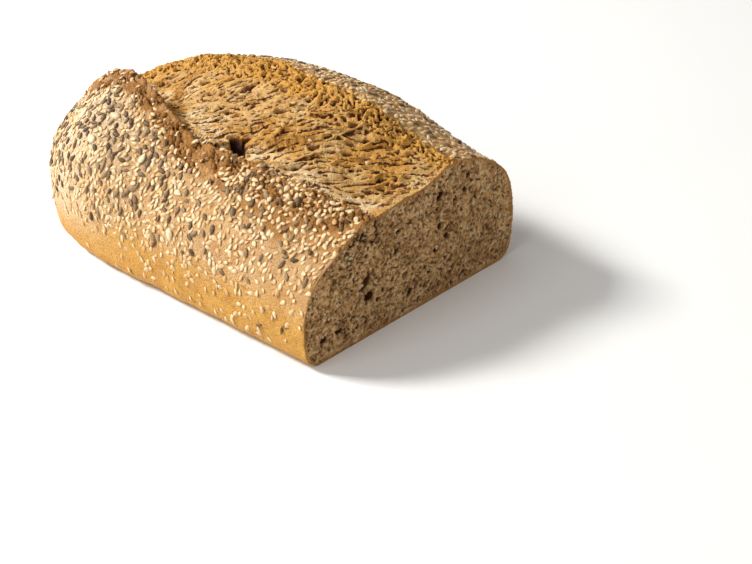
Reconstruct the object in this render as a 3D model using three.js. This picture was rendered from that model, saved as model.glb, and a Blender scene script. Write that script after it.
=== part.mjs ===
// Tin loaf: a wide, low multigrain loaf, with its first slices cut off.
// Millimetres, +Z up, one solid. The origin is the middle of the loaf's underside. The loaf stands
// on its flat base, and +X points from the rounded end that is still whole to the flat cut face.
// The top burst open lengthwise in the oven: a flap of crust stands on the near side, -Y, a ridge
// on the far side, +Y, and a wide band of torn dough climbs from a valley behind the flap to the ridge.

import * as THREE from "three";
import { ImprovedNoise } from "three/addons/math/ImprovedNoise.js";

// The whole loaf
const LENGTH = 206; // tip of the rounded end to the cut face
const WIDTH = 140; // across the bulge of the two sides
const CROWN = 82; // base to the far ridge, in the middle of the loaf

// The cut end
const CUT_CROWN = 63; // height of the far ridge at the cut face
const CUT_FALL = 64; // length over which the crown sinks to the cut face

// The whole end
const END_CROWN = 63; // height the crown sinks towards, before the end rounds off
const END_FALL = 115; // length over which it sinks
const END_ROUND_PLAN = 82; // length over which the end closes, seen from above
const END_ROUND_SIDE = 60; // and seen from the side
const PLAN_SQUARENESS = 2.35; // power of the end's superellipse, 2 is an ellipse
const SIDE_SQUARENESS = 2.2;
const TIP_HEIGHT = 28; // height of the outermost point of the end
const BASE_LIFT = 18; // length over which the base lifts off under the end
const BASE_SQUARENESS = 2;

// The near flap
const FLAP_HEIGHT = 63;
const CUT_FLAP_HEIGHT = 58;
const FLAP_EDGE = -32; // its torn edge, from the loaf's middle line
const CUT_FLAP_EDGE = -26.5;
const FLAP_LIP = 3.5; // width of the step down from the edge
const LIP_DROP = 0.7; // share of the drop to the valley that the lip takes

// The fold, where the flap stands up and leans over the tear near the whole end
const FOLD_FROM_TIP = 44;
const FOLD_REACH = 66;
const FOLD_RISE = 13;
const FOLD_LEAN = 12.5;

// The tear
const VALLEY_WIDTH = 10; // flap edge to the lowest line of the valley
const VALLEY_SHARE = 0.8; // height of the valley as a share of the crown's
const CUT_VALLEY_HEIGHT = 56;
const VALLEY_DEPTH = 2; // least depth of the valley under the flap's edge
const RIDGE_PLACE = 21; // the far ridge, from the middle line
const CUT_RIDGE_PLACE = 27.5;
const STRAND_ANGLE = THREE.MathUtils.degToRad(59); // direction of the strands, from the length
const STRAND_WIDTH = 9;
const STRAND_LENGTH = 30;
const STRAND_RELIEF = 2.2; // height of the strands over the hollows

// Outlines of a section, from the near foot over the top to the far foot. The sides are shares of
// the half width, with shares of the flap's height on the near side and of the crown's on the far one.
const NEAR_SIDE = [[-0.87, 0], [-0.95, 0.04], [-0.99, 0.14], [-1, 0.4], [-0.95, 0.58], [-0.86, 0.72]];
const FAR_SIDE = [[0.95, 0.645], [1, 0.42], [0.99, 0.14], [0.95, 0.04], [0.87, 0]];
// The shoulders are shares of the way in from the side, or out from the ridge, and of the height.
const NEAR_SHOULDER = [[0.4, 0.85], [0.75, 0.96]];
const FAR_SHOULDER = [[0.28, 0.965], [0.55, 0.885], [0.77, 0.78]];
// The tear is shares of the way and of the climb from the valley to the ridge.
const TEAR = [[0, 0], [0.4, 0.4], [0.75, 0.72]];

// The mesh
const STATIONS = 60; // sections along the loaf
const STATION_CROWDING = 0.9; // 1 crowds the stations towards the tip as a cosine does
const STEPS_PER_SPAN = 3; // points between two points of an outline
const BASE_STEPS = 8; // points across the flat base

const halfLength = LENGTH / 2;
const halfWidth = WIDTH / 2;
const noise = new ImprovedNoise();
const mix = THREE.MathUtils.lerp;
const clamp = THREE.MathUtils.clamp;

// 1 at no distance, falling in a straight line to 0 at the reach.
const nearness = (distance, reach) => clamp(1 - distance / reach, 0, 1);
const eased = (share) => THREE.MathUtils.smoothstep(share, 0, 1);
// A quarter of a superellipse: 1 where the rounding starts, 0 at its end.
const rounding = (share, power) => Math.pow(1 - Math.pow(share, power), 1 / power);

// The outline of one section of the loaf, with the index of the flap's edge and of the ridge in it.
function outline(fromTip) {
  const cut = eased(nearness(LENGTH - fromTip, CUT_FALL));
  const end = eased(nearness(fromTip, END_FALL));
  const fold = eased(nearness(Math.abs(fromTip - FOLD_FROM_TIP), FOLD_REACH));
  const crown = CROWN - (CROWN - CUT_CROWN) * cut - (CROWN - END_CROWN) * end;
  const flap = mix(FLAP_HEIGHT, CUT_FLAP_HEIGHT, cut) + FOLD_RISE * fold;
  const edge = mix(FLAP_EDGE, CUT_FLAP_EDGE, cut) + FOLD_LEAN * fold;
  const valley = Math.min(flap - VALLEY_DEPTH, mix(VALLEY_SHARE * crown, CUT_VALLEY_HEIGHT, cut));
  const ridge = mix(RIDGE_PLACE, CUT_RIDGE_PLACE, cut);
  const shoulder = NEAR_SIDE.at(-1)[0] * halfWidth;
  const points = [
    ...NEAR_SIDE.map(([out, up]) => [out * halfWidth, up * flap]),
    ...NEAR_SHOULDER.map(([way, up]) => [mix(shoulder, edge, way), up * flap]),
    [edge, flap],
    [edge + FLAP_LIP, mix(flap, valley, LIP_DROP)],
    ...TEAR.map(([way, climb]) => [mix(edge + VALLEY_WIDTH, ridge, way), mix(valley, crown, climb)]),
    [ridge, crown],
    ...FAR_SHOULDER.map(([way, up]) => [mix(ridge, halfWidth, way), up * crown]),
    ...FAR_SIDE.map(([out, up]) => [out * halfWidth, up * crown]),
  ];
  const edgeIndex = NEAR_SIDE.length + NEAR_SHOULDER.length;
  return { points, edgeIndex, ridgeIndex: edgeIndex + 2 + TEAR.length };
}

// Height of the torn dough's strands over the smooth top.
function strandHeight(x, y) {
  const along = x * Math.cos(STRAND_ANGLE) + y * Math.sin(STRAND_ANGLE);
  const across = x * Math.sin(STRAND_ANGLE) - y * Math.cos(STRAND_ANGLE);
  return STRAND_RELIEF * noise.noise(across / STRAND_WIDTH, along / STRAND_LENGTH, 0);
}

// The ring of points of one station: the crust, then the flat base back to the near foot.
function section(x) {
  const fromTip = x + halfLength;
  const { points, edgeIndex, ridgeIndex } = outline(fromTip);
  const curve = new THREE.SplineCurve(points.map(([y, z]) => new THREE.Vector2(y, z)));
  const crust = curve.getPoints((points.length - 1) * STEPS_PER_SPAN);
  const foot = crust[0].x;
  const base = [];
  for (let i = 1; i < BASE_STEPS; i++) {
    base.push(new THREE.Vector2(mix(-foot, foot, i / BASE_STEPS), 0));
  }
  const narrow = rounding(nearness(fromTip, END_ROUND_PLAN), PLAN_SQUARENESS);
  const over = rounding(nearness(fromTip, END_ROUND_SIDE), SIDE_SQUARENESS);
  const under = rounding(nearness(fromTip, BASE_LIFT), BASE_SQUARENESS);
  return [...crust, ...base].map((point, i) => {
    const wayOverTear = (i / STEPS_PER_SPAN - edgeIndex) / (ridgeIndex - edgeIndex);
    const torn = Math.sin(Math.PI * clamp(wayOverTear, 0, 1));
    const y = point.x * narrow;
    const z = Math.max(0, point.y) + torn * strandHeight(x, y);
    const closing = z > TIP_HEIGHT ? over : under;
    return new THREE.Vector3(x, y, TIP_HEIGHT + (z - TIP_HEIGHT) * closing);
  });
}

// Where station number i stands. The stations crowd together towards the tip.
function stationX(i) {
  const share = 1 - Math.cos((i / STATIONS) * (Math.PI / 2));
  return -halfLength + LENGTH * Math.pow(share, STATION_CROWDING);
}

// The closed surface: a fan round the tip, a band between each two rings, and the flat cut face.
function loafGeometry() {
  const rings = [];
  for (let i = 1; i <= STATIONS; i++) {
    rings.push(section(stationX(i)));
  }
  const tip = new THREE.Vector3(-halfLength, 0, TIP_HEIGHT);
  const points = [...rings.flat(), tip];
  const around = rings[0].length;
  const lastRing = (STATIONS - 1) * around;
  const faces = [];
  for (let k = 0; k < around; k++) {
    const next = (k + 1) % around;
    faces.push(points.length - 1, k, next);
    for (let start = 0; start < lastRing; start += around) {
      const a = start + k;
      const b = start + next;
      faces.push(a, a + around, b + around, a, b + around, b);
    }
  }
  const cutOutline = rings.at(-1).map((point) => new THREE.Vector2(point.y, point.z));
  for (const [a, b, c] of THREE.ShapeUtils.triangulateShape(cutOutline, [])) {
    faces.push(lastRing + a, lastRing + b, lastRing + c);
  }
  const geometry = new THREE.BufferGeometry().setFromPoints(points);
  geometry.setIndex(faces);
  geometry.computeVertexNormals();
  return geometry;
}

const crust = new THREE.MeshStandardMaterial({ color: 0xc8924e, roughness: 0.85, metalness: 0 });
const loaf = new THREE.Mesh(loafGeometry(), crust);
loaf.name = "loaf";

const part = new THREE.Group();
part.add(loaf);

export default part;
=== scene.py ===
"""Tin loaf: a wide, low multigrain loaf with its first slices cut off, on a plain pale floor.

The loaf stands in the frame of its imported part, in metres: +X runs from the rounded whole end to
the cut face, +Y to the side of the high ridge, +Z up from the flat base.
"""

import math
from typing import NamedTuple

import bpy
import numpy as np
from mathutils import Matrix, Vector, noise
from mathutils.bvhtree import BVHTree
from mathutils.kdtree import KDTree


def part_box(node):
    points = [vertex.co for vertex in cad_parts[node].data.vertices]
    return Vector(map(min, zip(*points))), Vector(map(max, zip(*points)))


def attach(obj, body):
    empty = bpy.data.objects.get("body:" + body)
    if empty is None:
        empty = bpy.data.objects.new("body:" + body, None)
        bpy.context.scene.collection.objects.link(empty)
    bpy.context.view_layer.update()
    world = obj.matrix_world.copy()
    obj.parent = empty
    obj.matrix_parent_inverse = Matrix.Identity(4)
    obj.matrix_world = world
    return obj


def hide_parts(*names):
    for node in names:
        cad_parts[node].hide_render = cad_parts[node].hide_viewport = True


bl_info = {
    "name": "Tin loaf",
    "version": (1, 0, 0),
    "blender": (4, 5, 0),
    "location": "3D View > Sidebar > Loaf",
    "description": "Bakes a seeded tin loaf around its packed part and sets it on a studio floor",
    "category": "Add Mesh",
}

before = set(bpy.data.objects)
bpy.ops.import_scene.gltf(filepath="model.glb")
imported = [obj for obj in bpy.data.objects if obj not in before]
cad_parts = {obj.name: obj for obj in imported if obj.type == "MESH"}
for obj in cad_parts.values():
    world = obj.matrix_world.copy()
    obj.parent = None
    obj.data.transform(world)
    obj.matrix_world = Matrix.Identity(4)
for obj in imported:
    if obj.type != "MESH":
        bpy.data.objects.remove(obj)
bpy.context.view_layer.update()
BOX_LOW, BOX_HIGH = (np.array(corner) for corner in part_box("loaf"))
CUT_X = BOX_HIGH[0]
TIP_X = BOX_LOW[0]
MM = 0.001

# The torn strands run at this angle from the length.
STRAND_ANGLE = math.radians(44)

# The hollows that run together into the ragged hole behind the flap: place along and across the
# loaf, half length, half width and depth in millimetres, and turn in radians.
RAGGED_HOLE = (
    (11.5, -19.0, 3.8, 1.6, 5, 0.5),
    (14.0, -20.5, 4.2, 2.8, 8, -0.3),
    (16.5, -18.5, 4.6, 1.5, 6, 1.2),
    (18.0, -22.5, 4.2, 3.2, 9, -0.5),
    (21.5, -24.5, 4.4, 1.9, 6, -0.9),
    (15.0, -24.5, 3.8, 1.8, 5, 0.2),
)

# The largest pores of the cut face: place across and up and radius in millimetres, turn in
# radians, share of the radius that the half width has, and depth in millimetres.
LARGE_PORES = (
    (-39.7, 43.2, 2.6, 0.3, 0.7, 4.0),
    (-31.0, 27.3, 4.8, 0.8, 0.5, 2.2),
    (-29.1, 19.5, 3.2, -0.2, 0.7, 5.0),
    (-48.2, 10.5, 2.4, 0.1, 0.5, 3.4),
    (17.4, 50.1, 3.2, 0.6, 0.5, 3.2),
)

# How many smaller pores there are, and their least and largest radius in millimetres.
PORE_SIZES = ((2600, 0.5, 0.85), (600, 0.7, 1.2), (34, 1.2, 1.9), (4, 2.0, 2.6))

# Seeds lie sunk by a share of their thickness between these two.
LEAST_SUNK, MOST_SUNK = 0.08, 0.42

# The stage, in metres and radians; the lens and the sensor are in millimetres.
CAMERA_LENS, CAMERA_SENSOR, CAMERA_NEAREST = 88.56, 36, 0.01
CAMERA_TARGET, CAMERA_DISTANCE = (0.0737, 0.0073, 0), 0.848
CAMERA_AZIMUTH, CAMERA_ELEVATION = math.radians(42), math.radians(30)
LAMP_DISTANCE = 2
FLOOR_REACH = 3

# Sockets whose names aren't unique, by number: a Map Range's value and bounds, and a colour
# Mix's share, lower colour, upper colour and outlet.
VALUE, LOW, HIGH, START, END = range(5)
SHARE, UNDER, OVER, MIXED = 0, 6, 7, 2


# Colours and small helpers


def linear(code):
    """The linear colour of an sRGB hex code such as "#d7a04f"."""
    shares = [int(code[i : i + 2], 16) / 255 for i in (1, 3, 5)]
    return [s / 12.92 if s <= 0.04045 else ((s + 0.055) / 1.055) ** 2.4 for s in shares]


def colour_property(name, description, code):
    """A colour a user can change, given as an sRGB hex code."""
    return bpy.props.FloatVectorProperty(
        name=name,
        description=description,
        subtype="COLOR",
        size=3,
        min=0,
        max=1,
        default=linear(code),
    )


def count_property(name, description, count):
    """A whole number a user can change."""
    return bpy.props.IntProperty(name=name, description=description, min=0, default=count)


def amount_property(name, description, amount):
    """A plain amount a user can change, such as a lamp's strength."""
    return bpy.props.FloatProperty(name=name, description=description, min=0, default=amount)


def length_property(name, description, millimetres):
    """A length a user can change, given in millimetres and kept in metres."""
    return bpy.props.FloatProperty(
        name=name,
        description=description,
        subtype="DISTANCE",
        unit="LENGTH",
        min=0,
        precision=5,
        default=millimetres * MM,
    )


def nearness(distance, reach):
    """1 at no distance, falling in a straight line to 0 at the reach."""
    return np.clip(1 - distance / reach, 0, 1)


def band(distance, middle, half_width, reach):
    """1 within the half width of the middle, falling to 0 over the reach beyond it, all three
    in millimetres."""
    return nearness(np.maximum(0, np.abs(distance / MM - middle) - half_width), reach)


def eased(share):
    """The share with a soft start and end."""
    share = np.clip(share, 0, 1)
    return share * share * (3 - 2 * share)


def slope(place, start, end):
    """0 at the start and 1 at the end, both in millimetres, with a soft slope between them."""
    return eased((place / MM - start) / (end - start))


def noise_at(points, size, seed):
    """Smooth noise from about -1 to 1 at each point, with bumps of the size in millimetres."""
    moved = points / (size * MM) + seed
    return np.fromiter((noise.noise(p) for p in moved.tolist()), float, len(moved))


def ridges_at(points, size, seed):
    """Noise with sharp crests, about 0 to 2, at each point, sized in millimetres."""
    moved = points / (size * MM) + seed
    return np.fromiter(
        (noise.ridged_multi_fractal(p, 0.9, 2.1, 3, 1.0, 2.0) for p in moved.tolist()),
        float,
        len(moved),
    )


def strand_frame(points, stretch):
    """The points turned to the strands' direction and squeezed along it, for stretched noise."""
    along = points[:, 0] * math.cos(STRAND_ANGLE) + points[:, 1] * math.sin(STRAND_ANGLE)
    across = points[:, 0] * math.sin(STRAND_ANGLE) - points[:, 1] * math.cos(STRAND_ANGLE)
    return np.stack([along / stretch, across, points[:, 2] * 0.5], axis=1)


def tear_borders(x):
    """The lines where the torn band starts behind the flap and where its far ridge runs, at x.
    Both bend at the flap's fold and near the cut, and close in a rounded nose at the whole end."""
    cut = eased(nearness(CUT_X - x, 64 * MM))
    fold = eased(nearness(np.abs(x - TIP_X - 44 * MM), 66 * MM))
    closing, roundness = nearness(x - TIP_X, 82 * MM), 2.35
    narrow = np.maximum(0.03, np.power(1 - np.power(closing, roundness), 1 / roundness))
    edge = (-32 + 5.5 * cut + 12.5 * fold) * MM
    ridge = (21 + 6.5 * cut) * MM
    return edge * narrow, ridge * narrow


def tear_shares(points):
    """How far across the tear each point is, 0 at the flap's edge and 1 at the ridge, and how
    wide the tear is there."""
    edge, ridge = tear_borders(points[:, 0])
    return (points[:, 1] - edge) / (ridge - edge), ridge - edge


def edge_gap(points):
    """How far behind the flap's edge each point is, in metres; less than 0 on the flap."""
    share, width = tear_shares(points)
    return share * width


def wandering_gap(points):
    """The gap from an edge that wanders up to 5 mm to and fro, for the flap's brown rim."""
    return edge_gap(points) + 5 * MM * noise_at(points, 11, 9.9)


# Meshes


def rows_of(items, field, kind=float, size=3):
    """One row of numbers for each of a mesh's items."""
    numbers = np.empty(len(items) * size, kind)
    items.foreach_get(field, numbers)
    return numbers.reshape(-1, size)


def mesh_arrays(mesh):
    """The vertices and the vertex normals of a mesh."""
    return rows_of(mesh.vertices, "co"), rows_of(mesh.vertex_normals, "vector")


def set_points(mesh, points):
    """Moves a mesh's vertices."""
    mesh.vertices.foreach_set("co", points.ravel())
    mesh.update()


def store(mesh, name, values):
    """Keeps one number per vertex, for the materials."""
    attribute = mesh.attributes.new(name, "FLOAT", "POINT")
    attribute.data.foreach_set("value", values.astype(np.float32))


def new_object(name, vertices, faces):
    """A mesh object from lists of vertices and faces."""
    mesh = bpy.data.meshes.new(name)
    mesh.from_pydata(vertices, [], faces)
    mesh.update()
    piece = bpy.data.objects.new(name, mesh)
    bpy.context.scene.collection.objects.link(piece)
    return piece


def with_modifier(piece, kind, **settings):
    """Applies one modifier to a piece's mesh."""
    modifier = piece.modifiers.new(kind, kind)
    for key, value in settings.items():
        setattr(modifier, key, value)
    depsgraph = bpy.context.evaluated_depsgraph_get()
    mesh = bpy.data.meshes.new_from_object(piece.evaluated_get(depsgraph))
    old = piece.data
    piece.modifiers.clear()
    piece.data = mesh
    bpy.data.meshes.remove(old)


def tree_of(mesh):
    """A search tree of a mesh's surface."""
    return BVHTree.FromPolygons(
        [v.co[:] for v in mesh.vertices], [p.vertices[:] for p in mesh.polygons]
    )


def height_above(tree, x, y):
    """The height of the surface's top at x and y, or None beside it."""
    hit = tree.ray_cast(Vector((x, y, 0.3)), Vector((0, 0, -1)))
    return None if hit[0] is None else hit[0].z


def proudness(points, normals, pairs, rounds):
    """How far each point stands above the average of those around it, in millimetres."""
    first, second = pairs[:, 0], pairs[:, 1]
    size = len(points)
    around = np.maximum(1, np.bincount(pairs.ravel(), minlength=size))
    even = points.copy()
    for _ in range(rounds):
        for axis in range(3):
            line = even[:, axis].copy()
            total = np.bincount(first, line[second], size) + np.bincount(second, line[first], size)
            even[:, axis] = (line + total / around) / 2
    return ((points - even) * normals).sum(axis=1) / MM


# The loaf's skin


def smooth_base():
    """The loaf's plain shape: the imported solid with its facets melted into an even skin, and the
    cut end kept flat and sharp."""
    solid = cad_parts["loaf"].data
    base = bpy.data.objects.new("loaf_base", solid.copy())
    bpy.context.scene.collection.objects.link(base)
    with_modifier(base, "REMESH", mode="VOXEL", voxel_size=1.3 * MM)
    with_modifier(base, "SMOOTH", factor=0.6, iterations=7)
    points, _ = mesh_arrays(base.data)
    # Melting rounds the cut's edge over 5 mm, so that much is pushed out and cut off again.
    rounded, foot = 5 * MM, 0.7 * MM
    points[points[:, 0] > CUT_X - rounded, 0] += rounded
    points[:, 0] = np.minimum(points[:, 0], CUT_X)
    points[points[:, 2] < foot, 2] = 0
    set_points(base.data, points)
    return base


def strand(rng, tree, x, y, angle, length, height, lean):
    """One torn strand of dough: a flat tapered ribbon on edge, bent, half sunk and leaning over."""
    rings, sides = 9, 6
    heading = np.array([math.cos(angle), math.sin(angle)])
    beside = np.array([heading[1], -heading[0]])
    bend = rng.uniform(-0.18, 0.18) * length
    thick = rng.uniform(0.25, 0.5) * MM
    vertices = []
    for i in range(rings):
        share = i / (rings - 1) * 2 - 1
        taper = math.sqrt(max(0.02, 1 - share * share))
        place = np.array([x, y]) + heading * share * length / 2 + beside * bend * share * share
        ground = height_above(tree, *place)
        if ground is None:
            return [], []
        rise = height * taper * (0.25 + 0.2 * math.sin(5 * share + x * 900))
        for k in range(sides):
            turn = 2 * math.pi * k / sides
            up = math.cos(turn) * height * taper
            out = math.sin(turn) * thick * (0.5 + taper)
            side = beside * (out * math.cos(lean) + up * math.sin(lean))
            vertices.append(
                [*(place + side), ground + rise + up * math.cos(lean) - out * math.sin(lean)]
            )
    faces = [list(range(sides))[::-1], list(range((rings - 1) * sides, rings * sides))]
    for i in range(rings - 1):
        for k in range(sides):
            a, b = i * sides + k, i * sides + (k + 1) % sides
            faces.append([a, b, b + sides, a + sides])
    return vertices, faces


def torn_strands(shape, tree):
    """All strands of the torn top, denser and shorter towards the far ridge."""
    rng = np.random.default_rng(11)
    vertices, faces = [], []
    for _ in range(shape.strand_count):
        x = rng.uniform(TIP_X + 22 * MM, CUT_X - 1 * MM)
        share = rng.uniform(0.1, 1.06)
        edge, ridge = tear_borders(np.array(x))
        y = float(edge + share * (ridge - edge))
        frill = eased((share - 0.72) / 0.2)
        angle = STRAND_ANGLE + rng.normal(0, 0.22 + 0.7 * frill)
        size = rng.lognormal(-0.35, 0.5)
        length = min(2.2, size) * shape.strand_length * (1 - 0.6 * frill)
        height = rng.uniform(0.6, 1.0) * shape.strand_height * min(1.7, 0.45 + 0.6 * size)
        lean = rng.uniform(0.55, 1.2)
        ribbon, ribbon_faces = strand(rng, tree, x, y, angle, length, height, lean)
        faces += [[i + len(vertices) for i in face] for face in ribbon_faces]
        vertices += ribbon
    return new_object("strands", vertices, faces)


def join_into(first, second):
    """Joins the second piece's mesh into the first."""
    both = [first, second]
    with bpy.context.temp_override(
        active_object=first, object=first, selected_objects=both, selected_editable_objects=both
    ):
        bpy.ops.object.join()


def tear_mask(points):
    """1 on the torn band of the top, 0 on the whole crust, with a soft border."""
    share, _ = tear_shares(points)
    far_border = 1.08 + 0.2 * slope(points[:, 0], 30, -30)
    across = eased(share / 0.05) * eased((far_border - share) / 0.08)
    high = slope(points[:, 2], 42, 50)
    return across * high


def frothiness(points):
    """1 on the frothy far ridge of the torn band, 0 away from it."""
    share, width = tear_shares(points)
    gap = np.abs(share - 1.0) * width + 3 * MM * noise_at(points, 9, 6.6)
    return eased(nearness(gap, np.minimum(13 * MM, 0.3 * width)) * 1.8)


def toasting(points):
    """1 where the torn dough stood up and browned, more so at the whole end; 0 where it stayed
    calm and pale."""
    end = 0.2 * slope(points[:, 0], 10, -50)
    end -= 0.12 * slope(points[:, 0], 20, 80)
    return eased(0.42 + end + 1.5 * noise_at(strand_frame(points, 1.8), 10, 21.0))


def shingles(points, spacing, seed):
    """Torn layers that lie over each other: each rises across the strands from 0 to its lip at 1
    and ends there at once. Gives that rise and how strong the layer is."""
    spots = strand_frame(points, 3)
    phase = spots[:, 1] / spacing + 1.3 * noise_at(spots, 11, seed)
    phase += 0.4 * noise_at(spots, 4, seed + 3)
    rise = phase - np.floor(phase)
    return rise, eased(0.45 + 0.9 * noise_at(spots, 8, seed + 7))


def tear_relief(points):
    """How far each point of the torn top moves up or down, in metres, in its broad forms."""
    inside = tear_mask(points)
    active = np.flatnonzero(inside > 0)
    relief = np.zeros(len(points))
    spots = strand_frame(points[active], 3.2)
    froth = frothiness(points[active])
    rolls = noise_at(spots, 11, 3.1) * 1.5
    pumice = (ridges_at(points[active], 6, 2.2) - 1.0) * 1.6
    relief[active] = (rolls + pumice * froth) * MM
    return relief * inside


def fine_tears(points):
    """How far each point of the torn top moves up or down, in metres, in its fine layers."""
    froth, toast = frothiness(points), toasting(points)
    height = np.zeros(len(points))
    for spacing, tall, seed in ((6.2 * MM, 2.9 * MM, 4.0), (2.5 * MM, 0.7 * MM, 14.5)):
        rise, strength = shingles(points, spacing, seed)
        height += strength * (rise**1.8 - 0.4) * tall * (1 - 0.8 * froth) * (0.45 + 0.85 * toast)
    spots = strand_frame(points, 2.4)
    height += (ridges_at(spots, 1.7, 5.5) - 1) * 0.4 * MM
    height += (ridges_at(points, 2.6, 8.5) - 1) * 1.2 * MM * froth
    return height * (1 - 0.5 * paleness(points))


def flap_edge(points):
    """How far the crust moves at the flap's torn edge, in metres: a lip, a crevice behind it,
    and plates with cracks between them on the crisp rim."""
    gap = edge_gap(points) + 1.5 * MM * noise_at(points, 7, 3.3)
    lip = 1.3 * band(gap, -1.5, 0, 3)
    crevice = 2.6 * band(gap, 2.5, 0, 3.2)
    crevice *= 0.5 + 0.8 * eased(0.5 + noise_at(points, 10, 5.1))
    crevice *= 0.1 + 0.9 * slope(points[:, 0], -25, 15)
    plates = (ridges_at(points, 2.2, 4.2) - 1.0) * 0.9
    plate_size, crack_width = 2.6 * MM, 0.3
    for i, point in enumerate((points / plate_size).tolist()):
        near, middles = noise.voronoi(point)
        crack = max(0.0, 1 - (near[1] - near[0]) / crack_width)
        plates[i] += 1.2 * noise.noise(middles[0] * 3.7) - 1.5 * crack
    plates *= 0.35 + 1.3 * eased(0.5 + 1.2 * noise_at(points, 7, 2.9))
    return (lip - crevice + plates * band(gap, -5, 5, 6)) * MM


def flat_tree(points, across, up):
    """A search tree of points by two of their three coordinates."""
    tree = KDTree(len(points))
    for i, p in enumerate(points):
        tree.insert((p[across], p[up], 0), i)
    tree.balance()
    return tree


def pressed(tree, hollows, ragged):
    """How deep each point of the tree lies in the hollows: places, half lengths, half widths,
    depths and turns. The ragged share moves a hollow's border in or out at each point."""
    depth = np.zeros(len(ragged))
    for x, y, long, wide, deep, turn in hollows:
        for co, i, _ in tree.find_range((x, y, 0), long * 1.2):
            dx, dy = co[0] - x, co[1] - y
            u = (dx * math.cos(turn) + dy * math.sin(turn)) / long
            v = (dx * math.sin(turn) - dy * math.cos(turn)) / wide
            inside = 1 + ragged[i] - u * u - v * v
            if inside > 0:
                depth[i] = max(depth[i], deep * math.sqrt(inside))
    return depth


def tear_pits(points, count):
    """How deep the pits of the torn top are at each point, in metres: long ones along the strands,
    small round ones in the froth of the far ridge, and one ragged hole behind the flap."""
    rng = np.random.default_rng(31)
    pits = [(*(size * MM for size in sizes), turn) for *sizes, turn in RAGGED_HOLE]
    for _ in range(count):
        x = rng.uniform(TIP_X + 15 * MM, CUT_X - 2 * MM)
        frothy = rng.random() < 0.55
        share = rng.normal(1.0, 0.11) if frothy else rng.uniform(0.04, 0.85)
        edge, ridge = tear_borders(np.array(x))
        y = float(edge + share * (ridge - edge))
        long = rng.uniform(0.8, 1.9) if frothy else rng.uniform(1.0, 3.0)
        wide = long * (rng.uniform(0.4, 0.9) if frothy else rng.uniform(0.25, 0.5))
        deep = rng.uniform(0.6, 1.7) if frothy else rng.uniform(1.0, 2.6)
        turn = STRAND_ANGLE + rng.normal(0, 1.2 if frothy else 0.18)
        pits.append((x, y, long * MM, wide * MM, deep * MM, turn))
    return pressed(flat_tree(points, 0, 1), pits, 0.3 * noise_at(points, 1.8, 7.7))


def rim_distance(points, outline):
    """Distance of each point from the outline of the cut face, in metres."""
    return np.array([outline.find((p[1], p[2], 0))[2] for p in points])


def cut_outline(points, normals, base_outline):
    """A search tree of the crust's ring just behind the cut face. The normals are those from
    before the pores were pressed in, so no pore's wall counts as crust."""
    ring = (np.abs(points[:, 0] - CUT_X + 1.5 * MM) < 0.6 * MM) & (np.abs(normals[:, 0]) < 0.5)
    ring[ring] = rim_distance(points[ring], base_outline) < 3 * MM
    return flat_tree(points[ring], 1, 2)


def crumb_pores(points, rim, shape):
    """How deep each point of the cut face is, in metres: flattened pores of many sizes."""
    rng = np.random.default_rng(5)
    tree = flat_tree(points, 1, 2)
    pores = list(LARGE_PORES)
    for count, least, most in PORE_SIZES:
        for _ in range(int(count * shape.pore_share)):
            y, z, radius = rng.uniform(-70, 70), rng.uniform(2, 64), rng.uniform(least, most)
            turn, flat = rng.uniform(-0.6, 0.9), rng.uniform(0.45, 0.9)
            pores.append((y, z, radius, turn, flat, radius * 1.1))
    # A pore that would break through the baked rim is left out.
    hollows = []
    for y, z, radius, turn, flat, deep in pores:
        _, nearest, _ = tree.find((y * MM, z * MM, 0))
        least_gap = 1.1 * radius + 0.7
        if rim[nearest] >= least_gap * MM:
            sizes = (y, z, radius, radius * flat, deep)
            hollows.append((*(size * MM for size in sizes), turn))
    depth = pressed(tree, hollows, np.zeros(len(points)))
    rough = (noise_at(points, 1.3, 4.4) + 0.8) * 0.4 * MM
    return depth + rough * slope(rim, 0, 1.2)


def baking(points):
    """How brown the crust is: 0 golden where the tin held it, 0.4 tan, 1 dark and crisp."""
    gap = wandering_gap(points) + 2 * MM * noise_at(points, 5, 3.9)
    near = (points[:, 1] < 0) * slope(points[:, 2], 36, 46)
    towards_cut = slope(points[:, 0], 5, 75)
    crisp = eased(band(gap, -2, 2, 13 + 15 * towards_cut) * 1.5) * near
    side = slope(points[:, 2], 14, 38)
    underside = nearness(points[:, 2], 2 * MM) * 0.5
    level = 0.42 * side + 0.1 * noise_at(points, 16, 9.2)
    level += crisp * (0.44 + 0.45 * noise_at(points, 4, 1.2))
    return np.clip(level + underside, 0, 1)


def paleness(points):
    """How pale the loaf is: the dough in the valley behind the flap and in patches, which stayed
    pale, and a painted highlight on the crust of the whole end, which fades into the tan crust
    towards the cut."""
    share, width = tear_shares(points)
    wide = 10 + 9 * slope(points[:, 0], 20, -30)
    valley = band(share * width, 0.6 * wide, 0, wide)
    valley *= eased(0.7 + 1.2 * noise_at(points, 13, 2.7))
    patches = eased(noise_at(points, 15, 12.1) * 2.2 - 0.3) * (share < 0.8)
    # The whole end's share is a painted highlight.
    end = slope(points[:, 0] - TIP_X, 105, 15) * slope(points[:, 2], 6, 28)
    torn = tear_mask(points)
    return np.clip(np.maximum(valley * 1.2, patches * 0.6) * torn + end * (1 - torn), 0, 1)


# Seeds


class SeedKind(NamedTuple):
    """What a kind of seed has beside its number, length, width and colours, in metres and
    radians. Kinds of the same clumping lie in the same clumps, and choosy ones keep to them."""

    setting: str
    piece: str
    material: str
    thickness: float
    narrowing: float
    rings: int
    sides: int
    spacing: float
    clumping: float
    choosy: float
    turn: float
    turn_spread: float
    roughness: float
    mottle: float


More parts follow.
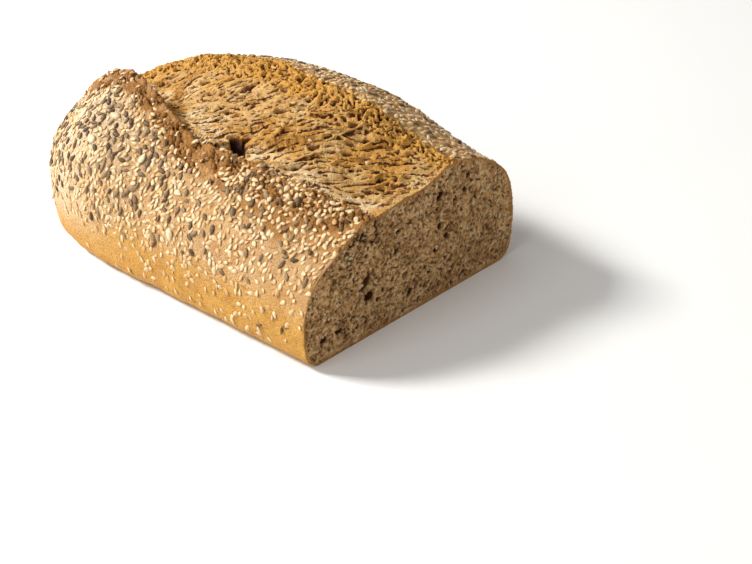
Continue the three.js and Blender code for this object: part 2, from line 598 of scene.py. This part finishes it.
SEED_KINDS = (
    SeedKind(
        "kernel", "sunflower_kernels", "roasted_sunflower_kernel", thickness=1.7 * MM,
        narrowing=0.9, rings=7, sides=8, spacing=4.6 * MM, clumping=17.0, choosy=1.5,
        turn=0.3, turn_spread=0.9, roughness=0.55, mottle=0.8 * MM,
    ),
    SeedKind(
        "linseed", "linseeds", "baked_linseed_hull", thickness=1.1 * MM,
        narrowing=0.7, rings=7, sides=8, spacing=2.4 * MM, clumping=5.0, choosy=1,
        turn=0.35, turn_spread=0.65, roughness=0.55, mottle=0.6 * MM,
    ),
    SeedKind(
        "sesame", "sesame_seeds", "baked_sesame_seed", thickness=0.8 * MM,
        narrowing=0.8, rings=6, sides=6, spacing=1.95 * MM, clumping=17.0, choosy=1,
        turn=0.3, turn_spread=0.85, roughness=0.5, mottle=0.5 * MM,
    ),
)


def seed_form(kind, length, width):
    """A flat teardrop seed along +X: its vertices, faces and each vertex's share of the length."""
    rings, sides = kind.rings, kind.sides
    vertices, faces, shares = [(-length / 2, 0, 0)], [], [0]
    for i in range(1, rings):
        share = i / rings
        # Full in the middle, pointed at both ends and slimmer towards the far one.
        swell = math.sin(math.pi * share) ** 0.7 * (1 - kind.narrowing * (share - 0.4))
        for k in range(sides):
            turn = 2 * math.pi * k / sides
            across = math.cos(turn) * width / 2 * swell
            up = math.sin(turn) * kind.thickness / 2 * swell
            vertices.append(((share - 0.5) * length, across, up))
            shares.append(share)
    vertices.append((length / 2, 0, 0))
    shares.append(1)
    last = len(vertices) - 1
    for k in range(sides):
        after = (k + 1) % sides
        faces.append([0, 1 + after, 1 + k])
        faces.append([last, last - sides + k, last - sides + after])
        for i in range(rings - 2):
            a, b = 1 + i * sides + k, 1 + i * sides + after
            faces.append([a, b, b + sides, a + sides])
    return np.array(vertices), faces, np.array(shares)


def seed_density(points, facing, clumping):
    """How thickly the seeds lie at each point of the crust, and 0 where it faces the cut. They
    thin out low on the sides and towards the cut, and hardly any lie on the flap's rim or tear."""
    from_tip = points[:, 0] - TIP_X
    sloping = 6 * MM * noise_at(points, 30, 1.9)
    low = slope(points[:, 2] + sloping, 12, 52) ** 2
    few = 0.014 * slope(points[:, 2], 4, 10) * slope(from_tip, 40, 130)
    towards_cut = 1 - 0.78 * slope(from_tip, 75, 170)
    clumps = 0.14 + 1.6 * eased(0.5 + 1.5 * noise_at(points, 7, clumping))
    rim = band(wandering_gap(points), -4.5, 6, 4) * (points[:, 1] < 0)
    off_rim = 1 - 0.985 * rim * slope(CUT_X - points[:, 0], 45, 85)
    torn = tear_mask(points)
    thick = (low * towards_cut * clumps + few) * off_rim * (1 - torn) + 0.0004 * torn
    return np.maximum(0, thick * (facing[:, 0] < 0.8) * (points[:, 0] < CUT_X - 1.5 * MM))


def scatter(rng, corners, weights, count, spacing, taken):
    """Random places for seeds on the triangles, no closer to each other than the spacing. They
    are fewer than the count where the tries run out before there is room for all."""
    tries_each = 8
    first, second, third = corners[:, 0], corners[:, 1], corners[:, 2]
    areas = np.linalg.norm(np.cross(second - first, third - first), axis=1)
    chances = weights * areas
    picks = rng.choice(len(corners), size=count * tries_each, p=chances / chances.sum())
    u, v = rng.random(len(picks)), rng.random(len(picks))
    u, v = np.where(u + v > 1, 1 - u, u), np.where(u + v > 1, 1 - v, v)
    spots = first[picks] + u[:, None] * (second - first)[picks] + v[:, None] * (third - first)[picks]
    # Seeds are looked for in cells wider than the largest spacing.
    cell = 6 * MM
    around = [(a, b, c) for a in (-1, 0, 1) for b in (-1, 0, 1) for c in (-1, 0, 1)]
    places = []
    for place, key in zip(spots, (spots // cell).astype(int).tolist()):
        close = [
            other
            for a, b, c in around
            for other in taken.get((key[0] + a, key[1] + b, key[2] + c), ())
        ]
        if any(math.dist(place, p) < (spacing + gap) / 2 for p, gap in close):
            continue
        taken.setdefault(tuple(key), []).append((tuple(place), spacing))
        places.append(place)
        if len(places) == count:
            break
    return places


def sprinkle(kind, rng, form, places, tree):
    """One mesh of seeds lying on the crust, each turned, tilted, pressed in a little and cut
    flush where the knife went."""
    vertices, faces, shares = form
    thickness = vertices[:, 2].max() * 2
    tilt_spread, size_spread = 0.17, 0.14
    all_points, all_faces, tones, along = [], [], [], []
    for place in places:
        ground, normal, _, _ = tree.find_nearest(Vector(place))
        uphill = Vector((0, 0, 1)) - normal * normal.z
        if uphill.length < 0.3:
            uphill = Vector((0, 1, 0)) - normal * normal.y
        uphill.normalize()
        turn = rng.normal(kind.turn, kind.turn_spread)
        if rng.random() < 0.5:
            turn += math.pi
        beside = normal.cross(uphill)
        heading = uphill * math.cos(turn) + beside * math.sin(turn)
        up = normal + heading * rng.normal(0, tilt_spread) + beside * rng.normal(0, tilt_spread)
        up.normalize()
        across = up.cross(heading).normalized()
        heading = across.cross(up)
        size = np.clip(rng.normal(1, size_spread), 0.65, 1.4)
        axes = np.array([heading, across, up]) * size
        lift = thickness * (0.5 - rng.uniform(LEAST_SUNK, MOST_SUNK))
        first = len(all_points) * len(vertices)
        seed = vertices @ axes + np.array(place) + np.array(up) * lift
        seed[:, 0] = np.minimum(seed[:, 0], CUT_X)
        all_points.append(seed)
        all_faces += [[i + first for i in face] for face in faces]
        tones.append(np.full(len(vertices), rng.random()))
        along.append(shares)
    piece = new_object(kind.piece, np.concatenate(all_points).tolist(), all_faces)
    store(piece.data, "tone", np.concatenate(tones))
    store(piece.data, "tip", np.concatenate(along))
    shade_smooth(piece)
    return piece


def shade_smooth(piece):
    """Rounds the shading of a piece."""
    piece.data.polygons.foreach_set("use_smooth", np.ones(len(piece.data.polygons), bool))


# Materials


def add(tree, kind, inputs=None, outlet=0, **settings):
    """Adds one node with its settings, its values and its links, and gives back its outlet."""
    made = tree.nodes.new(kind)
    for key, value in settings.items():
        setattr(made, key, value)
    for key, value in (inputs or {}).items():
        if isinstance(value, bpy.types.NodeSocket):
            tree.links.new(value, made.inputs[key])
        else:
            made.inputs[key].default_value = value
    return made.outputs[outlet]


def rgba(colour):
    """A colour setting as a socket takes it."""
    return (*colour, 1)


def start_material(name):
    """A new material with its tree, its shader and the coordinates of the piece."""
    material = bpy.data.materials.new(name)
    material.use_nodes = True
    tree = material.node_tree
    place = add(tree, "ShaderNodeTexCoord", outlet="Object")
    return material, tree, tree.nodes["Principled BSDF"], place


def crust_material(colours):
    """Wheat crust baked dry: dull with a faint gloss, golden to deep brown, with painted shade in the
    cracks of its crisp rim and a painted highlight on the whole end. Where it tore it is
    straw-coloured dough with golden lips, painted shade in its hollows and pits, and a frothy,
    deeper golden far ridge."""
    material, tree, shader, place = start_material("baked_wheat_crust")
    kept = {
        name: add(tree, "ShaderNodeAttribute", outlet="Fac", attribute_name=name)
        for name in ("torn", "bake", "crest", "relief", "pit", "pale", "froth", "toast")
    }
    # Spots in millimetres: clouds of browning, bran, flour grain, and the finest grit of a crust.
    spots = {
        name: add(
            tree,
            "ShaderNodeTexNoise",
            {"Vector": place, "Scale": 1 / (size * MM), "Detail": detail, "Roughness": 0.6},
        )
        for name, size, detail in (
            ("cloud", 9, 4), ("bran", 2.2, 2), ("grain", 1.3, 3), ("grit", 0.7, 2)
        )
    }
    # The dough's fibres run with the strands, about 1.5 mm apart, and waver.
    waver = add(
        tree, "ShaderNodeTexNoise", {"Vector": place, "Scale": 1 / (7 * MM), "Detail": 2.0}, "Color"
    )
    wavered = add(
        tree,
        "ShaderNodeVectorMath",
        {0: waver, 1: (4 * MM, 4 * MM, 4 * MM), 2: place},
        operation="MULTIPLY_ADD",
    )
    along = add(
        tree,
        "ShaderNodeMapping",
        {"Vector": wavered, "Rotation": (0, 0, STRAND_ANGLE), "Scale": (5, 1, 2)},
        vector_type="TEXTURE",
    )
    fibres = add(
        tree,
        "ShaderNodeTexNoise",
        {"Vector": along, "Scale": 1 / (1.5 * MM), "Detail": 3.0, "Roughness": 0.6},
    )
    level = {
        name: add(
            tree,
            "ShaderNodeMapRange",
            {VALUE: value, LOW: low, HIGH: high, START: start, END: end},
        )
        for name, value, low, high, start, end in (
            ("tan", kept["bake"], 0.05, 0.42, 0, 1),
            ("browned", kept["bake"], 0.46, 0.66, 0, 0.7),
            ("crisp", kept["bake"], 0.62, 0.95, 0, 1),
            ("end_highlight", kept["pale"], 0, 0.8, 0, 0.8),
            ("cloudy", spots["cloud"], 0.4, 0.68, 0, 0.55),
            ("branny", spots["bran"], 0.6, 0.7, 0, 0.6),
            ("gritty", spots["grit"], 0.52, 0.32, 0, 0.65),
            # Painted shade in the crust's hollows and the cracks of its crisp rim.
            ("crack_shade", kept["crest"], -0.08, -0.4, 0, 0.85),
            ("fibre", fibres, 0.35, 0.65, -0.22, 0.22),
            ("grainy", spots["grain"], 0.35, 0.65, -0.14, 0.14),
            ("cloudy_dough", spots["cloud"], 0.42, 0.62, 0, 0.6),
            ("valley", kept["pale"], 0.1, 0.9, 0, 0.8),
            ("ragged", spots["grain"], 0.3, 0.7, -0.3, 0.3),
            ("roughness", spots["grain"], 0.3, 0.7, 0.55, 0.8),
        )
    }
    crust = rgba(colours.crust_gold)
    for share, colour in (
        (level["tan"], colours.crust_tan),
        (level["cloudy"], colours.crust_brown),
        # A painted highlight on the whole end.
        (level["end_highlight"], colours.crust_end_highlight),
        (level["browned"], colours.crust_brown),
        (level["crisp"], colours.crust_dark),
        (level["branny"], colours.bran),
        (level["gritty"], colours.crust_brown),
        # Painted shade in the cracks of the crisp rim.
        (level["crack_shade"], colours.crust_crack_shade),
    ):
        coat = {SHARE: share, UNDER: crust, OVER: rgba(colour)}
        crust = add(tree, "ShaderNodeMix", coat, MIXED, data_type="RGBA")
    lip_height = add(tree, "ShaderNodeMapRange", {VALUE: kept["toast"], START: -0.18, END: 0.12})
    # Lips stand above and hollows below the dough around them; fibres and grain add to both.
    fine = add(tree, "ShaderNodeMath", {0: level["fibre"], 1: level["grainy"]})
    height = add(tree, "ShaderNodeMath", {0: kept["crest"], 1: fine})
    raised = add(tree, "ShaderNodeMath", {0: height, 1: lip_height})
    step = {
        name: add(tree, "ShaderNodeMapRange", {VALUE: value, LOW: low, HIGH: high, END: top})
        for name, value, low, high, top in (
            ("toasted", kept["toast"], 0.2, 1.0, 0.55),
            ("lip", raised, 0.08, 0.4, 0.9),
            ("burnt", raised, 0.5, 0.95, 0.6),
            # These five masks, from the heights and the pit depths, place painted shade in the torn top's
            # hollows, low places and pits.
            ("hollow_shade", height, -0.06, -0.22, 1),
            ("pit", height, -0.26, -0.6, 0.9),
            ("low", kept["relief"], -0.3, -1.3, 0.5),
            ("pitted_shade", kept["pit"], 0.4, 1.5, 0.85),
            ("deepest_shade", kept["pit"], 1.6, 4.0, 1.0),
            ("frothy", kept["froth"], 0.1, 0.9, 0.75),
        )
    }
    dough = rgba(colours.torn_straw)
    for share, colour in (
        (level["cloudy_dough"], colours.torn_tan),
        (step["frothy"], colours.torn_gold),
        (step["toasted"], colours.torn_gold),
        (level["valley"], colours.torn_pale),
        (step["lip"], colours.torn_lip),
        (step["burnt"], colours.torn_tan),
        # Painted shade: low places, hollows and pits, darkest in the deepest pits.
        (step["low"], colours.torn_hollow_shade),
        (step["hollow_shade"], colours.torn_hollow_shade),
        (step["pitted_shade"], colours.torn_hollow_shade),
        (step["pit"], colours.torn_pit_shade),
        (step["deepest_shade"], colours.torn_pit_shade),
    ):
        coat = {SHARE: share, UNDER: dough, OVER: rgba(colour)}
        dough = add(tree, "ShaderNodeMix", coat, MIXED, data_type="RGBA")
    edge = add(tree, "ShaderNodeMath", {0: kept["torn"], 1: level["ragged"]})
    open_dough = add(tree, "ShaderNodeMapRange", {VALUE: edge, LOW: 0.35, HIGH: 0.6})
    coat = {SHARE: open_dough, UNDER: crust, OVER: dough}
    skin = add(tree, "ShaderNodeMix", coat, MIXED, data_type="RGBA")
    tree.links.new(skin, shader.inputs["Base Color"])
    tree.links.new(level["roughness"], shader.inputs["Roughness"])
    shader.inputs["Specular IOR Level"].default_value = 0.18
    threads = add(
        tree, "ShaderNodeMath", {0: fibres, 1: kept["torn"], 2: spots["grain"]},
        operation="MULTIPLY_ADD",
    )
    surface = add(tree, "ShaderNodeMath", {0: threads, 1: spots["grit"]})
    bump = add(tree, "ShaderNodeBump", {"Height": surface, "Distance": 0.9 * MM, "Strength": 1.0})
    tree.links.new(bump, shader.inputs["Normal"])
    return material


def crumb_material(colours):
    """Multigrain crumb cut with a knife: matt and soft, light passes a little way into it, with
    pores, flecks of bran and a thin baked rim. Its small cells and the depths of its pores are
    darkened with painted shade."""
    material, tree, shader, place = start_material("multigrain_crumb")
    rim = add(tree, "ShaderNodeAttribute", outlet="Fac", attribute_name="rim")
    deep = add(tree, "ShaderNodeAttribute", outlet="Fac", attribute_name="deep")
    # Spots in millimetres: clouds, bran flakes, and the cell walls and cells of the crumb; the cells are
    # painted shade.
    spots = {
        name: add(
            tree,
            "ShaderNodeTexNoise",
            {"Vector": place, "Scale": 1 / (size * MM), "Detail": detail, "Roughness": 0.6},
        )
        for name, size, detail in (
            ("cloud", 7, 3), ("bran", 2.8, 3), ("wall", 2.0, 3), ("cell", 1.5, 4)
        )
    }
    shift = {VALUE: spots["bran"], LOW: 0.3, HIGH: 0.7, START: -1.0, END: 1.0}
    edge_shift = add(tree, "ShaderNodeMapRange", shift)
    edge = add(tree, "ShaderNodeMath", {0: rim, 1: edge_shift})
    level = {
        name: add(tree, "ShaderNodeMapRange", {VALUE: value, LOW: low, HIGH: high, END: top})
        for name, value, low, high, top in (
            ("cloudy", spots["cloud"], 0.38, 0.64, 0.75),
            ("wall", spots["wall"], 0.5, 0.7, 0.8),
            ("cell", spots["cell"], 0.47, 0.32, 1),
            ("bran", spots["bran"], 0.6, 0.7, 0.7),
            ("deep", deep, 0.35, 1.5, 1),
            ("dry", edge, 1.5, 0.8, 0.85),
            ("baked", edge, 0.5, -0.2, 0.7),
        )
    }
    crumb = rgba(colours.crumb)
    for share, colour in (
        (level["cloudy"], colours.crumb_dark),
        (level["wall"], colours.crumb_light),
        (level["bran"], colours.bran),
        # Painted shade in the small cells and in the depths of the pores.
        (level["cell"], colours.crumb_cell_shade),
        (level["deep"], colours.crumb_pore_shade),
        (level["dry"], colours.crust_brown),
        (level["baked"], colours.crust_brown),
    ):
        coat = {SHARE: share, UNDER: crumb, OVER: rgba(colour)}
        crumb = add(tree, "ShaderNodeMix", coat, MIXED, data_type="RGBA")
    tree.links.new(crumb, shader.inputs["Base Color"])
    shader.inputs["Roughness"].default_value = 0.85
    shader.inputs["Specular IOR Level"].default_value = 0.2
    shader.inputs["Subsurface Weight"].default_value = 0.1
    shader.inputs["Subsurface Radius"].default_value = (1, 0.6, 0.3)
    shader.inputs["Subsurface Scale"].default_value = 1.0 * MM
    surface = add(tree, "ShaderNodeMath", {0: spots["wall"], 1: spots["cell"]})
    bump = add(tree, "ShaderNodeBump", {"Height": surface, "Distance": 1.4 * MM, "Strength": 1.0})
    tree.links.new(bump, shader.inputs["Normal"])
    return material


def seed_material(kind, light, dark):
    """Baked seed hull: smooth and faintly glossy, each seed a little lighter or darker, with a
    darker pointed end and a fine mottle."""
    material, tree, shader, place = start_material(kind.material)
    tone = add(tree, "ShaderNodeAttribute", outlet="Fac", attribute_name="tone")
    tip = add(tree, "ShaderNodeAttribute", outlet="Fac", attribute_name="tip")
    mottling = add(
        tree, "ShaderNodeTexNoise", {"Vector": place, "Scale": 1 / kind.mottle, "Detail": 3.0}
    )
    faint = {VALUE: mottling, LOW: 0.3, HIGH: 0.7, START: -0.35, END: 0.35}
    mottled = add(tree, "ShaderNodeMapRange", faint)
    mixed = add(tree, "ShaderNodeMath", {0: tone, 1: mottled})
    darkness = add(tree, "ShaderNodeMapRange", {VALUE: mixed, LOW: 0.1, HIGH: 1.1})
    tipping = add(tree, "ShaderNodeMapRange", {VALUE: tip, LOW: 0.72, END: 0.6})
    hull = rgba(light)
    for share, colour in ((darkness, dark), (tipping, dark)):
        coat = {SHARE: share, UNDER: hull, OVER: rgba(colour)}
        hull = add(tree, "ShaderNodeMix", coat, MIXED, data_type="RGBA")
    tree.links.new(hull, shader.inputs["Base Color"])
    shader.inputs["Roughness"].default_value = kind.roughness
    shader.inputs["Specular IOR Level"].default_value = 0.3
    bump = add(tree, "ShaderNodeBump", {"Height": mottling, "Distance": 0.15 * MM, "Strength": 0.6})
    tree.links.new(bump, shader.inputs["Normal"])
    return material


def board_material(colours):
    """Matt painted board, rolled: an even pale grey white with the faintest clouds."""
    material, tree, shader, place = start_material("matt_painted_board")
    cloud = add(
        tree, "ShaderNodeTexNoise", {"Vector": place, "Scale": 1 / (60 * MM), "Detail": 2.0}
    )
    faint = add(tree, "ShaderNodeMapRange", {VALUE: cloud, LOW: 0.3, HIGH: 0.7, END: 0.03})
    coat = {SHARE: faint, UNDER: rgba(colours.floor), OVER: (0.5, 0.5, 0.5, 1)}
    paint = add(tree, "ShaderNodeMix", coat, MIXED, data_type="RGBA")
    tree.links.new(paint, shader.inputs["Base Color"])
    shader.inputs["Roughness"].default_value = 0.8
    return material


# Settings


class LoafShape(bpy.types.PropertyGroup):
    """Sizes of the loaf's own surface."""

    skin: length_property("Skin step", "Distance between the points of the finest skin", 0.5)
    faces: count_property("Faces", "Triangles of the finished loaf", 195000)
    strand_count: count_property("Strands", "Torn strands of dough on the top", 420)
    strand_length: length_property("Strand length", "Usual length of a torn strand", 15)
    strand_height: length_property("Strand height", "Usual height of a torn strand", 1.3)
    pit_count: count_property("Pits", "Pits in the torn top", 620)
    pore_share: amount_property("Pores", "Number of crumb pores against the usual", 1.0)


class SeedSizes(bpy.types.PropertyGroup):
    """Numbers and sizes of the seeds baked onto the crust."""

    sesame_count: count_property("Sesame seeds", "Most sesame seeds laid, as far as they find room", 2900)
    sesame_length: length_property("Sesame length", "Length of a sesame seed", 3.4)
    sesame_width: length_property("Sesame width", "Width of a sesame seed", 2.1)
    linseed_count: count_property("Linseeds", "Most linseeds laid, as far as they find room", 660)
    linseed_length: length_property("Linseed length", "Length of a linseed", 4.5)
    linseed_width: length_property("Linseed width", "Width of a linseed", 2.1)
    kernel_count: count_property("Sunflower kernels", "Most kernels laid, as far as they find room", 18)
    kernel_length: length_property("Kernel length", "Length of a sunflower kernel", 6.5)
    kernel_width: length_property("Kernel width", "Width of a sunflower kernel", 3.8)


class LoafColours(bpy.types.PropertyGroup):
    """Colours of crust, dough, crumb and seeds."""

    crust_gold: colour_property("Golden crust", "Crust low on the sides", "#d8a44f")
    crust_tan: colour_property("Tan crust", "Crust between the seeds", "#cfa97a")
    # A painted highlight on the crust of the whole end.
    crust_end_highlight: colour_property("Pale crust", "Floury crust of the whole end", "#e8d5b3")
    crust_brown: colour_property("Brown crust", "Darker clouds in the crust", "#b47d3e")
    crust_dark: colour_property("Crisp crust", "Crust at the torn edges", "#9a6830")
    # Painted shade in the cracks of the crisp crust.
    crust_crack_shade: colour_property("Cracks", "Cracks in the crisp crust", "#41210b")
    bran: colour_property("Bran", "Flecks of bran", "#8a5a2c")
    torn_straw: colour_property("Straw dough", "The torn top's own colour", "#d9b070")
    torn_tan: colour_property("Tan dough", "Darker clouds in the torn top", "#b17d43")
    torn_pale: colour_property("Pale dough", "Dough behind the flap", "#ebd3a6")
    torn_gold: colour_property("Golden dough", "Froth of the far ridge", "#cf9841")
    torn_lip: colour_property("Dough lips", "Edges of the torn layers", "#cf9238")
    # Painted shade in the hollows and pits of the torn top.
    torn_hollow_shade: colour_property("Brown dough", "Hollows of the torn top", "#6c3a0a")
    torn_pit_shade: colour_property("Pits", "Depths of the torn top", "#2f1402")
    crumb: colour_property("Crumb", "Inside of the bread", "#deae74")
    crumb_dark: colour_property("Dark crumb", "Darker clouds of the crumb", "#94642f")
    crumb_light: colour_property("Light crumb", "Cell walls of the crumb", "#f4dbae")
    # Painted shade in the crumb's small cells and in its pores.
    crumb_cell_shade: colour_property("Cells", "Small cells of the crumb", "#4a2c12")
    crumb_pore_shade: colour_property("Pores", "Depths of the crumb", "#4a2a12")
    sesame: colour_property("Sesame", "The palest sesame seeds", "#e1c99f")
    sesame_dark: colour_property("Dark sesame", "The brownest sesame seeds", "#c9995b")
    linseed: colour_property("Linseed", "The lightest linseeds", "#9a7e5a")
    linseed_dark: colour_property("Dark linseed", "The darkest linseeds", "#463019")
    kernel: colour_property("Kernel", "The lightest sunflower kernels", "#e6d3ab")
    kernel_dark: colour_property("Dark kernel", "The greyest sunflower kernels", "#c2ab84")
    floor: colour_property("Floor", "The studio floor", "#f2f0ec")


class StudioLight(bpy.types.PropertyGroup):
    """Strength of the studio light."""

    key: amount_property("Key", "Power of the key lamp", 52)
    fill: amount_property("Fill", "Power of the fill lamp", 13)
    sky: amount_property("Sky", "Strength of the room's light", 0.36)


GROUPS = {
    "loaf_shape": LoafShape,
    "seed_sizes": SeedSizes,
    "loaf_colours": LoafColours,
    "studio_light": StudioLight,
}


# Steps


def rough_loaf(shape):
    """The loaf with the broad forms and the strands of its tear, as one closed, fine skin, and a
    search tree of its outline near the cut."""
    loaf = smooth_base()
    loaf.name = "baked_loaf"
    points, _ = mesh_arrays(loaf.data)
    outline = flat_tree(points[np.abs(points[:, 0] - CUT_X + 7 * MM) < 1.5 * MM], 1, 2)
    points[:, 2] += tear_relief(points)
    set_points(loaf.data, points)
    join_into(loaf, torn_strands(shape, tree_of(loaf.data)))
    with_modifier(loaf, "REMESH", mode="VOXEL", voxel_size=shape.skin)
    with_modifier(loaf, "SMOOTH", factor=0.5, iterations=1)
    return loaf, outline


def press_details(loaf, outline, shape):
    """Presses pores, layers, pits, the flap's rim and the crust's bumps into the skin, thins it
    to the wanted triangles and gives back a search tree of the crust's ring at the cut."""
    points, normals = mesh_arrays(loaf.data)
    on_cut = np.flatnonzero((points[:, 0] > CUT_X - 0.5 * MM) & (normals[:, 0] > 0.6))
    rim = rim_distance(points[on_cut], outline)
    points[on_cut, 0] -= crumb_pores(points[on_cut], rim, shape)
    torn = tear_mask(points)
    active = np.flatnonzero(torn > 0.01)
    points[active, 2] += fine_tears(points[active]) * torn[active]
    points[active, 2] -= tear_pits(points[active], shape.pit_count) * torn[active]
    beside_edge = (np.abs(edge_gap(points) + 4 * MM) < 14 * MM) & (points[:, 2] > 44 * MM)
    flap = np.flatnonzero(beside_edge & (points[:, 1] < 0))
    lift = flap_edge(points[flap])
    points[flap] += (normals[flap] + [0, 0, 1]) / 2 * lift[:, None]
    crusty = (points[:, 0] < CUT_X - 1 * MM) & (points[:, 2] > 1.5 * MM)
    bumps = noise_at(points, 13, 8.8) * 0.5 + noise_at(points, 4.5, 6.1) * 0.25
    points += normals * (bumps * MM * crusty * (1 - torn))[:, None]
    ring = cut_outline(points, normals, outline)
    set_points(loaf.data, points)
    triangles = sum(len(p.vertices) - 2 for p in loaf.data.polygons)
    if triangles > shape.faces:
        with_modifier(loaf, "DECIMATE", ratio=shape.faces / triangles)
    return ring


def store_looks(loaf, ring, shape):
    """Keeps what the materials read at each point: how torn, baked, pale, frothy and toasted it
    is, and in millimetres its height in small and in large, and its depth in pits and pores."""
    points, normals = mesh_arrays(loaf.data)
    pairs = rows_of(loaf.data.edges, "vertices", np.int32, 2)
    on_cut = points[:, 0] > CUT_X - 5 * MM
    farthest = 9.0
    rim = np.full(len(points), farthest)
    rim[on_cut] = rim_distance(points[on_cut], ring) / MM
    torn, baked, froth = tear_mask(points), baking(points), frothiness(points)
    crisp_or_torn = np.maximum(torn, baked > 0.5)
    pits = tear_pits(points, shape.pit_count) * torn * (1 - 0.55 * froth)
    # The heights and depths below also place painted shade in hollows, cracks, pits and pores.
    looks = {
        "torn": torn,
        "bake": baked,
        "pale": paleness(points),
        "froth": froth,
        "toast": toasting(points),
        "crest": proudness(points, normals, pairs, 12) * crisp_or_torn,
        "relief": proudness(points, normals, pairs, 90),
        "pit": pits / MM,
        "rim": rim,
        "deep": np.clip((CUT_X - points[:, 0]) / MM, 0, farthest),
    }
    for name, values in looks.items():
        store(loaf.data, name, values)


def part_crumb(loaf, ring):
    """Gives the second material to the cut face and to the walls of its pores."""
    faces = loaf.data.polygons
    centres, facing = rows_of(faces, "center"), rows_of(faces, "normal")
    near_cut = centres[:, 0] > CUT_X - 4 * MM
    inner = near_cut & (facing[:, 0] > 0.35)
    inner[near_cut] |= rim_distance(centres[near_cut], ring) > 1.8 * MM
    faces.foreach_set("material_index", inner.astype(np.int32))


class LOAF_OT_bake(bpy.types.Operator):
    """Bake the loaf: crust, torn top and cut face as one skin"""

    bl_idname = "loaf.bake"
    bl_label = "Bake the loaf"

    def execute(self, context):
        shape, colours = context.scene.loaf_shape, context.scene.loaf_colours
        loaf, outline = rough_loaf(shape)
        ring = press_details(loaf, outline, shape)
        store_looks(loaf, ring, shape)
        loaf.data.materials.clear()
        loaf.data.materials.append(crust_material(colours))
        loaf.data.materials.append(crumb_material(colours))
        part_crumb(loaf, ring)
        shade_smooth(loaf)
        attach(loaf, "root")
        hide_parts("loaf")
        return {"FINISHED"}


class LOAF_OT_sprinkle(bpy.types.Operator):
    """Sprinkle sesame, linseed and sunflower kernels on the crust"""

    bl_idname = "loaf.sprinkle"
    bl_label = "Sprinkle the seeds"

    def execute(self, context):
        sizes, colours = context.scene.seed_sizes, context.scene.loaf_colours
        loaf = bpy.data.objects["baked_loaf"]
        loaf.data.calc_loop_triangles()
        points, _ = mesh_arrays(loaf.data)
        corners = points[rows_of(loaf.data.loop_triangles, "vertices", np.int32)]
        facing = np.cross(corners[:, 1] - corners[:, 0], corners[:, 2] - corners[:, 0])
        facing /= np.linalg.norm(facing, axis=1)[:, None] + 1e-12
        centres = corners.mean(axis=1)
        base = smooth_base()
        base_tree = tree_of(base.data)
        bpy.data.objects.remove(base)
        rng = np.random.default_rng(23)
        taken = {}
        for kind in SEED_KINDS:
            count, length, width = (
                getattr(sizes, f"{kind.setting}_{part}") for part in ("count", "length", "width")
            )
            density = seed_density(centres, facing, kind.clumping) ** kind.choosy
            places = scatter(rng, corners, density, count, kind.spacing, taken)
            seeds = sprinkle(kind, rng, seed_form(kind, length, width), places, base_tree)
            light, dark = getattr(colours, kind.setting), getattr(colours, f"{kind.setting}_dark")
            seeds.data.materials.append(seed_material(kind, light, dark))
            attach(seeds, "root")
        return {"FINISHED"}


def aim(name, data, target, direction, distance):
    """A camera or lamp that looks at the target from the direction and the distance."""
    thing = bpy.data.objects.new(name, data)
    bpy.context.scene.collection.objects.link(thing)
    back = Vector(direction).normalized()
    thing.location = Vector(target) + back * distance
    thing.rotation_euler = back.to_track_quat("Z", "Y").to_euler()
    return thing


class LOAF_OT_stage(bpy.types.Operator):
    """Set the floor, the lights and the camera"""

    bl_idname = "loaf.stage"
    bl_label = "Set the stage"

    def execute(self, context):
        colours, light = context.scene.loaf_colours, context.scene.studio_light
        far = FLOOR_REACH
        corners = [(-far, -far, 0), (far, -far, 0), (far, far, 0), (-far, far, 0)]
        floor = new_object("floor", corners, [[0, 1, 2, 3]])
        floor.data.materials.append(board_material(colours))
        lens = bpy.data.cameras.new("camera")
        lens.lens, lens.sensor_width, lens.clip_start = CAMERA_LENS, CAMERA_SENSOR, CAMERA_NEAREST
        direction = (
            math.sin(CAMERA_AZIMUTH) * math.cos(CAMERA_ELEVATION),
            -math.cos(CAMERA_AZIMUTH) * math.cos(CAMERA_ELEVATION),
            math.sin(CAMERA_ELEVATION),
        )
        context.scene.camera = aim("camera", lens, CAMERA_TARGET, direction, CAMERA_DISTANCE)
        for name, direction, energy, size in (
            ("key", (-0.86, -0.5, 0.85), light.key, 0.5),
            ("fill", (0.0, -0.9, 0.7), light.fill, 1.3),
        ):
            lamp = bpy.data.lights.new(name, "AREA")
            lamp.energy, lamp.size = energy, size
            aim(name, lamp, (0, 0, 0), direction, LAMP_DISTANCE)
        world = bpy.data.worlds.new("studio")
        world.use_nodes = True
        background = world.node_tree.nodes["Background"]
        background.inputs["Color"].default_value = (1, 1, 1, 1)
        background.inputs["Strength"].default_value = light.sky
        context.scene.world = world
        context.scene.view_settings.view_transform = "Standard"
        return {"FINISHED"}


class LOAF_PT_panel(bpy.types.Panel):
    """The loaf's steps in the sidebar"""

    bl_label = "Tin loaf"
    bl_space_type = "VIEW_3D"
    bl_region_type = "UI"
    bl_category = "Loaf"

    def draw(self, context):
        for step in STEPS:
            self.layout.operator(step.bl_idname)
        for name in GROUPS:
            box = self.layout.box()
            settings = getattr(context.scene, name)
            for field in settings.bl_rna.properties:
                if not field.is_readonly and field.identifier != "name":
                    box.prop(settings, field.identifier)


STEPS = (LOAF_OT_bake, LOAF_OT_sprinkle, LOAF_OT_stage)


def register():
    for name, cls in GROUPS.items():
        bpy.utils.register_class(cls)
        setattr(bpy.types.Scene, name, bpy.props.PointerProperty(type=cls))
    for cls in (*STEPS, LOAF_PT_panel):
        bpy.utils.register_class(cls)


def unregister():
    for cls in (LOAF_PT_panel, *reversed(STEPS)):
        bpy.utils.unregister_class(cls)
    for name, cls in reversed(GROUPS.items()):
        delattr(bpy.types.Scene, name)
        bpy.utils.unregister_class(cls)


def main():
    """Registers everything, builds the loaf, its seeds and the stage."""
    register()
    bpy.ops.loaf.bake()
    bpy.ops.loaf.sprinkle()
    bpy.ops.loaf.stage()


if __name__ == "__main__":
    main()
